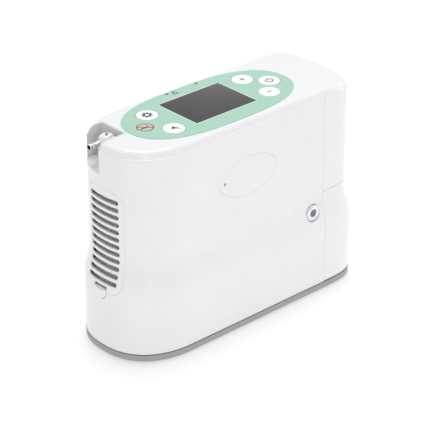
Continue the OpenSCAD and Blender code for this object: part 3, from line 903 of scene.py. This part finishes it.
def no_smoking_sign():
    """Red ring with a slash over a cigarette."""
    x, y, z = LABEL_X - SIGN_DX, 0, LABEL_TOP
    stamped("cigarette_mark", [at(x, y, bar(-4.7, -0.5, 2.2, -0.5, 1.3))], z, "case")
    stamped("smoke_mark", [at(x, y, bar(2.7, -0.6, 2.9, 3.6, 1.1))], z, "case", DISPLAY)
    outer, inner = circle(0, 0, 6.5, 72), circle(0, 0, 5.45, 72)
    obj = band("sign_ring", at(x, y, outer), at(x, y, inner), z, z + INK)
    finish(obj, "case", RED_INK)
    slash = at(x, y, bar(-4.1, 4.1, 4.1, -4.1, 1.0))
    stamped("sign_slash", [slash], z + 0.06 * MM, "case", RED_INK)


def bell_icon():
    """Outline of a bell beside the first indicator light."""
    lamp_x, lamp_y = next(lamp_spots())
    x, y, z = lamp_x + 5.6 * MM, lamp_y - 2.3 * MM, LABEL_TOP
    dome = [(-2.2, -1.5), (-1.5, -0.8), (-1.3, 0.7)]
    dome += [(a, b + 0.7) for a, b in arc_points(1.3, 180, 0, 12)]
    dome += [(1.5, -0.8), (2.2, -1.5)]
    dome = [(a * 1.3, b * 1.3) for a, b in dome]
    inner = [(a * 0.62, b * 0.62 - 0.1) for a, b in dome]
    obj = band("alarm_mark", at(x, y, dome), at(x, y, inner), z, z + 0.04 * MM)
    finish(obj, "case", DARK_INK)


def lamps():
    """Indicator lights with domed tops."""
    low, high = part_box("status_lights")
    top = (high.z - low.z) / MM
    profile = [(0, 0), (1.2, 0), (1.2, top - 0.35), (1.0, top - 0.12), (0.6, top - 0.02), (0, top)]
    parts = [turned("lamp", profile, (x, y, low.z), (0, 0, 1), 32) for x, y in lamp_spots()]
    return finish(shade(join("status_lamps", parts), 50), "case", LAMP, ["status_lights"])


# ---------------------------------------------------------------- nose
SLOT_COUNT, SLOT_PITCH = 12, 5.85 * MM
SLOT_LOW, SLOT_HALF, SLOT_H = COVER_LOW.z + 8.5 * MM, 15.2 * MM, 3.8 * MM
HOOK_Y, HOOK_HALF, HOOK_BACK = 10 * MM, 3 * MM, -100.8 * MM


def filter_cover():
    """Slotted cover with its two hooks."""
    low, high = COVER_LOW.z - 6 * MM, COVER_TOP + 6 * MM
    obj, skin = sleeve("filter_cover_panel", low, high, 1.3 * MM, edge=0, rim=0)
    combine(obj, cover_prism("keep", -HAIR), "INTERSECT")
    for i in range(SLOT_COUNT):
        z, r = SLOT_LOW + i * SLOT_PITCH, SLOT_H / 2 - 0.01 * MM
        outline = rounded_rect(0, z, SLOT_HALF, SLOT_H / 2, r, 8)
        combine(obj, prism("cut", outline, -FAR, NOSE_CUT, "x"))
    combine(obj, latch_prism("cut", 0.45 * MM, LATCH_HIGH.z + 2.6 * MM))
    for side in (-1, 1):
        near_y, far_y = side * HOOK_Y - HOOK_HALF, side * HOOK_Y + HOOK_HALF
        low, high = COVER_TOP - 4.4 * MM, COVER_TOP - 1.6 * MM
        arm = cube("hook_arm", (-105.6 * MM, near_y, low), (HOOK_BACK, far_y, high))
        combine(obj, arm, "UNION")
        lip = cube("hook_lip", (-102.2 * MM, near_y, low), (HOOK_BACK, far_y, COVER_HIGH.z))
        combine(obj, lip, "UNION")
    skin_normals(obj, skin)
    return finish(obj, "filter_door", CASE, ["filter_cover"])


def filter_foam():
    """Curved foam pad just behind the slots."""
    low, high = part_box("filter_foam")
    levels = wall_levels(low.z, high.z)
    front, back = 3.0 * MM, 7.5 * MM
    outer = [ring(z, side_inset(z) + front) for z in levels]
    inner = [ring(z, side_inset(z) + back) for z in levels]
    verts, faces = bridge(outer + inner[::-1], closed=True)
    obj = new_object("filter_foam_pad", verts, faces)
    outward(obj)
    middle, tall = (low.z + high.z) / 2, (high.z - low.z) / 2
    keep = prism("keep", rounded_rect(0, middle, high.y, tall, 8 * MM), -FAR, -80 * MM, "x")
    combine(obj, keep, "INTERSECT")
    shade(obj, 40)
    return finish(obj, "case", FOAM, ["filter_foam"])


def filter_latch():
    """Tab with a raised thumb lip under the grille."""
    levels = wall_levels(LATCH_LOW.z - 4 * MM, LATCH_HIGH.z + 4 * MM)
    outer = [ring(z, side_inset(z) - 0.45 * MM) for z in levels]
    inner = [ring(z, side_inset(z) + WALL) for z in levels]
    verts, faces = bridge(outer + inner[::-1], closed=True)
    obj = new_object("filter_latch_tab", verts, faces)
    outward(obj)
    combine(obj, latch_prism("keep", 0, LATCH_HIGH.z), "INTERSECT")
    ledge_half, ledge_low, ledge_x = 4.2 * MM, LATCH_HIGH.z - 1.3 * MM, -110.2 * MM
    combine(obj, cube("cut", (-FAR, -ledge_half, ledge_low), (ledge_x, ledge_half, FAR)))
    skin_normals(obj, outer)
    return finish(obj, "filter_catch", CASE, ["filter_latch"])


def turned_slot(width, length, degrees):
    """Slot outline with round ends, turned in plan."""
    c, s = math.cos(math.radians(degrees)), math.sin(math.radians(degrees))
    flat = rounded_rect(0, 0, length / 2, width / 2, width / 2 - 0.01, 8)
    return [(a * c - b * s, a * s + b * c) for a, b in flat]


def outlet_axis():
    """Place of the upright axis of the boss in plan, and height of the nozzle."""
    low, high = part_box("outlet_boss")
    nozzle_low, nozzle_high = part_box("outlet_nozzle")
    return (low.x + high.x) / 2, (low.y + high.y) / 2, (nozzle_low.z + nozzle_high.z) / 2


def outlet_boss():
    """White domed elbow with a key hole and a curved mark on its dome; a dark plug at the bottom of the key
    hole paints its shadow.
    """
    x, y, z = outlet_axis()
    low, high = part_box("outlet_boss")
    r, tall, dome = (high.x - low.x) / 2 / MM, (high.z - low.z) / MM, 4.6
    steps = [math.radians(i * 7.5) for i in range(13)]
    profile = [(0, 0), (r, 0)]
    profile += [(r * math.cos(t), tall - dome + dome * math.sin(t)) for t in steps]
    boss = turned("outlet_boss_body", profile, (x, y, low.z), (0, 0, 1), 96)
    combine(boss, prism("cut", circle(y, z, 2.65 * MM), x - 9 * MM, x - 0.4 * MM, "x"))
    mark_z = high.z - 2.2 * MM
    key = at(x - 0.5 * MM, y - 0.5 * MM, turned_slot(1.9, 4.4, 48))
    combine(boss, prism("cut", key, mark_z - 0.6 * MM, ABOVE))
    # Dark plug at the bottom of the key hole: painted shadow inside the hole
    key_shadow_plug = prism("outlet_key_painted_shadow", key, mark_z - 0.7 * MM, mark_z - 0.4 * MM)
    finish(key_shadow_plug, "case", DARK)
    groove = at(x, y, arc_points(5.2, -110, -40) + arc_points(3.7, -40, -110))
    combine(boss, prism("cut", groove, mark_z, ABOVE))
    shade(boss, 32)
    finish(boss, "case", CASE, ["outlet_boss"])


def outlet_nozzle():
    """Bright ridged tube with a dark bore; the bore is dark because of a dark cone put inside it, painted
    shade.
    """
    x, y, z = outlet_axis()
    length = (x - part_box("outlet_nozzle")[0].x) / MM
    outside = [(1.4, 0.6), (2.55, 0.6), (2.55, 6.8), (2.75, 6.9), (2.75, 7.4), (2.15, 7.6), (2.05, 8.0)]
    outside += [(2.05, length - 4.0), (2.3, length - 3.7), (2.3, length - 3.2), (2.05, length - 2.9)]
    outside += [(2.05, length - 1.6), (2.25, length - 1.3), (2.25, length - 0.2), (2.15, length)]
    bore = [(1.95, length), (1.85, length - 0.3)]
    nozzle = turned("outlet_nozzle_tube", outside + bore + outside[:1], (x, y, z), (-1, 0, 0), 64)
    finish(nozzle, "case", NICKEL, ["outlet_nozzle"])
    # Dark cone inside the tube: painted shade of the bore, which shows black through the open end
    bore_shade_profile = [(0, 0.8), (1.38, 0.8), (1.82, length - 0.32), (1.7, length - 0.32)]
    bore_shade_profile += [(1.2, length - 5), (0, length - 5)]
    inside = turned("outlet_bore_painted_shade", bore_shade_profile, (x, y, z), (-1, 0, 0), 48)
    finish(inside, "case", DARK)


# ---------------------------------------------------------------- side and rear
def dc_inlet():
    """Grooved metal ring round the socket, and the grey core of the socket."""
    x, z = INLET
    profile = [(3.1, 0.4), (3.3, 0.12), (5.1, 0.12), (5.3, 0.3), (5.5, 0.3), (5.65, 0.05)]
    profile += [(6.0, 0), (6.35, 0.25), (6.5, 0.6), (6.5, 4), (3.1, 4), (3.1, 0.4)]
    ring_piece = turned("inlet_ring", profile, (x, INLET_FACE, z), (0, 1, 0), 96)
    finish(ring_piece, "case", SATIN, ["dc_inlet_ring"])
    profile = [(3.08, 1.0), (3.08, 4.0), (1.1, 4.0), (1.1, 2.6), (2.2, 2.2), (3.08, 1.0)]
    core = turned("inlet_core", profile, (x, INLET_FACE, z), (0, 1, 0), 64)
    finish(core, "case", DISPLAY)


def side_cover():
    """Oval cover and its screw."""
    obj, skin = sleeve("oval_cover", 100 * MM, 145 * MM, 1.8 * MM, edge=0, rim=0)
    combine(obj, oval_prism("keep", -HAIR), "INTERSECT")
    low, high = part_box("side_cover_screw")
    x, z = (low.x + high.x) / 2, (low.z + high.z) / 2
    combine(obj, near_prism("cut", circle(x, z, 1.3 * MM, 32)))
    skin_normals(obj, skin)
    finish(obj, "case", CASE, ["side_cover"])
    length = (high.y - low.y) / MM
    profile = [(0, 0.5), (0.55, 0.5), (0.6, 0.05), (1.0, 0), (1.2, 0.2), (1.2, length), (0, length)]
    screw = turned("oval_cover_screw", profile, (x, low.y, z), (0, 1, 0), 32)
    finish(screw, "case", STEEL, ["side_cover_screw"])


def exhaust_grille():
    """Slotted panel on the far side."""
    obj, skin = sleeve("exhaust_panel", 70 * MM, 130 * MM, 1.8 * MM, edge=0, rim=0)
    combine(obj, vent_prism("keep", -HAIR), "INTERSECT")
    for i in range(-3, 4):
        slot = rounded_rect(VENT[0], VENT[1] + i * VENT_PITCH, 25 * MM, 1.3 * MM, 1.29 * MM, 8)
        combine(obj, prism("cut", slot, SIDE_CUT, FAR, "y"))
    skin_normals(obj, skin)
    return finish(obj, "case", CASE, ["exhaust_grille"])


BLOCK_HALF = 36.7 * MM            # half width of the part of the pack inside the case
NOTCH_LOW = 59 * MM               # the notch for the DC socket starts at this height


def release_prism(name, gap, r, start):
    """Outline of the release button, through the rear wall."""
    middle, tall = (RELEASE_LOW.z + RELEASE_HIGH.z) / 2, (RELEASE_HIGH.z - RELEASE_LOW.z) / 2
    outline = rounded_rect(0, middle, RELEASE_HIGH.y + gap, tall + gap, r)
    return prism(name, outline, start, FAR, "x")


def battery():
    """Rear lower moulding of the pack with the block that slides into the case."""
    low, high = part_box("battery_case")
    edge = 0.4 * MM
    levels = [(low.z, edge), (low.z + 0.3 * edge, 0.3 * edge)]
    levels += [(z, 0) for z in wall_levels(low.z + edge, high.z - 2 * edge)]
    levels += [(high.z - 0.8 * edge, 0.25 * edge), (high.z - 0.2 * edge, 0.9 * edge), (high.z, 2 * edge)]
    outer = [ring(z, side_inset(z) + d) for z, d in levels]
    verts, faces = bridge(outer, cap_low=True, cap_high=True)
    obj = new_object("battery_pack_case", verts, faces)
    outward(obj)
    combine(obj, cube("keep", (SEAM_X + REAR_SEAM, -FAR, -FAR), (FAR, FAR, FAR)), "INTERSECT")
    block_low = (low.x, -BLOCK_HALF, low.z + 1.7 * MM)
    block = cube("block", block_low, (SEAM_X + 2 * MM, BLOCK_HALF, high.z - 3 * MM))
    combine(obj, block, "UNION")
    notch_high = (INLET[0] + 7 * MM, INLET_FACE + 17 * MM, high.z + 2 * MM)
    combine(obj, cube("cut", (low.x - 2 * MM, -FAR, NOTCH_LOW), notch_high))
    combine(obj, cube("cut", (60 * MM, -12 * MM, 20 * MM), (64 * MM, 12 * MM, 30 * MM)))
    combine(obj, release_prism("cut", 0.3 * MM, 2.5 * MM, 100 * MM))
    skin_normals(obj, outer)
    finish(obj, "battery_pack", CASE, ["battery_case"])


def battery_release():
    """Release button with nine finger grooves."""
    low, high = RELEASE_LOW.z - 4 * MM, RELEASE_HIGH.z + 4 * MM
    obj = sleeve("battery_release_pad", low, high, 3 * MM, edge=0, rim=0)[0]
    move_in(obj, 0.4 * MM)
    combine(obj, release_prism("keep", 0, 2.2 * MM, 90 * MM), "INTERSECT")
    mid = (RELEASE_LOW.z + RELEASE_HIGH.z) / 2
    groove_x, pitch, half, tall = 109.6 * MM - side_inset(mid), 2.4 * MM, 0.5 * MM, 3 * MM
    for i in range(-4, 5):
        start = (groove_x, i * pitch - half, mid - tall)
        combine(obj, cube("cut", start, (FAR, i * pitch + half, mid + tall)))
    shade(obj, 25)
    return finish(obj, "battery_catch", BASE, ["battery_release"])


def move_in(obj, by):
    """Shifts a piece forward by changing its mesh."""
    for v in obj.data.vertices:
        v.co.x -= by


def inner_parts():
    """Every CAD node that is shown as it is gets its own finish."""
    for entry in frame["record"]["subparts"]:
        node = frame["nodes"][entry["node"]]
        if node.hide_render:
            continue
        node.data.materials.clear()
        node.data.materials.append(FINISHES[entry["material_slot"]])


# ---------------------------------------------------------------- stage, light and camera
FLOOR_GLOW = 0.41                 # light of its own, so that the floor stays white
WORLD_LIGHT = 0.65


def floor():
    """Plain white floor."""
    bpy.ops.mesh.primitive_plane_add(size=6, location=(0, 0, -0.0002))
    ground = bpy.context.object
    ground.name = "stage_floor"
    material, nodes, links, shader = tree_of("floor_white")
    mottled(nodes, links, shader, (0.64, 0.64, 0.64), 0.002, 4)
    shader.inputs["Roughness"].default_value = 0.9
    shader.inputs["Emission Color"].default_value = (1, 1, 1, 1)
    shader.inputs["Emission Strength"].default_value = FLOOR_GLOW
    ground.data.materials.append(material)


def area_light(name, location, target, size, power, height=None):
    """Soft oval lamp that faces a target."""
    data = bpy.data.lights.new(name, "AREA")
    data.shape = "ELLIPSE"
    data.size = size
    data.size_y = height or size
    data.energy = power
    lamp = bpy.data.objects.new(name, data)
    bpy.context.scene.collection.objects.link(lamp)
    lamp.location = location
    lamp.rotation_euler = (Vector(target) - Vector(location)).to_track_quat("-Z", "Y").to_euler()


def lighting():
    """Even white surroundings with four soft lamps."""
    world = bpy.data.worlds.new("studio")
    bpy.context.scene.world = world
    world.use_nodes = True
    world.node_tree.nodes["Background"].inputs["Color"].default_value = (1, 1, 1, 1)
    world.node_tree.nodes["Background"].inputs["Strength"].default_value = WORLD_LIGHT
    middle = (0, 0, 0.09)
    area_light("key", (-1.0, -1.1, 1.1), middle, 0.7, 1.2)
    area_light("top", (0.3, 0.3, 1.9), middle, 1.2, 17)
    area_light("side", (1.6, -0.7, 0.5), middle, 1.0, 3.6)
    area_light("strip", (-0.72, -1.08, 0.3), middle, 0.14, 1.5, 0.7)
    bpy.context.scene.view_settings.view_transform = "Standard"


def camera():
    """Long lens that looks down on the nose and the side with the DC inlet."""
    data = bpy.data.cameras.new("camera")
    data.lens = 161.49
    data.sensor_width = 36
    cam = bpy.data.objects.new("camera", data)
    bpy.context.scene.collection.objects.link(cam)
    cam.location = (-0.848251, -0.937224, 0.74781)
    cam.rotation_euler = (math.radians(61.891), 0, math.radians(-42.142))
    bpy.context.scene.camera = cam


main_housing()
rear_cover()
top_cover()
nozzle_pocket()
base_plate()
base_gasket()
feet()
control_label()
screen()
for spot in list(button_spots()):
    button(*spot)
no_smoking_sign()
bell_icon()
lamps()
filter_cover()
filter_foam()
filter_latch()
outlet_boss()
outlet_nozzle()
dc_inlet()
side_cover()
exhaust_grille()
battery()
battery_release()
inner_parts()
floor()
lighting()
camera()
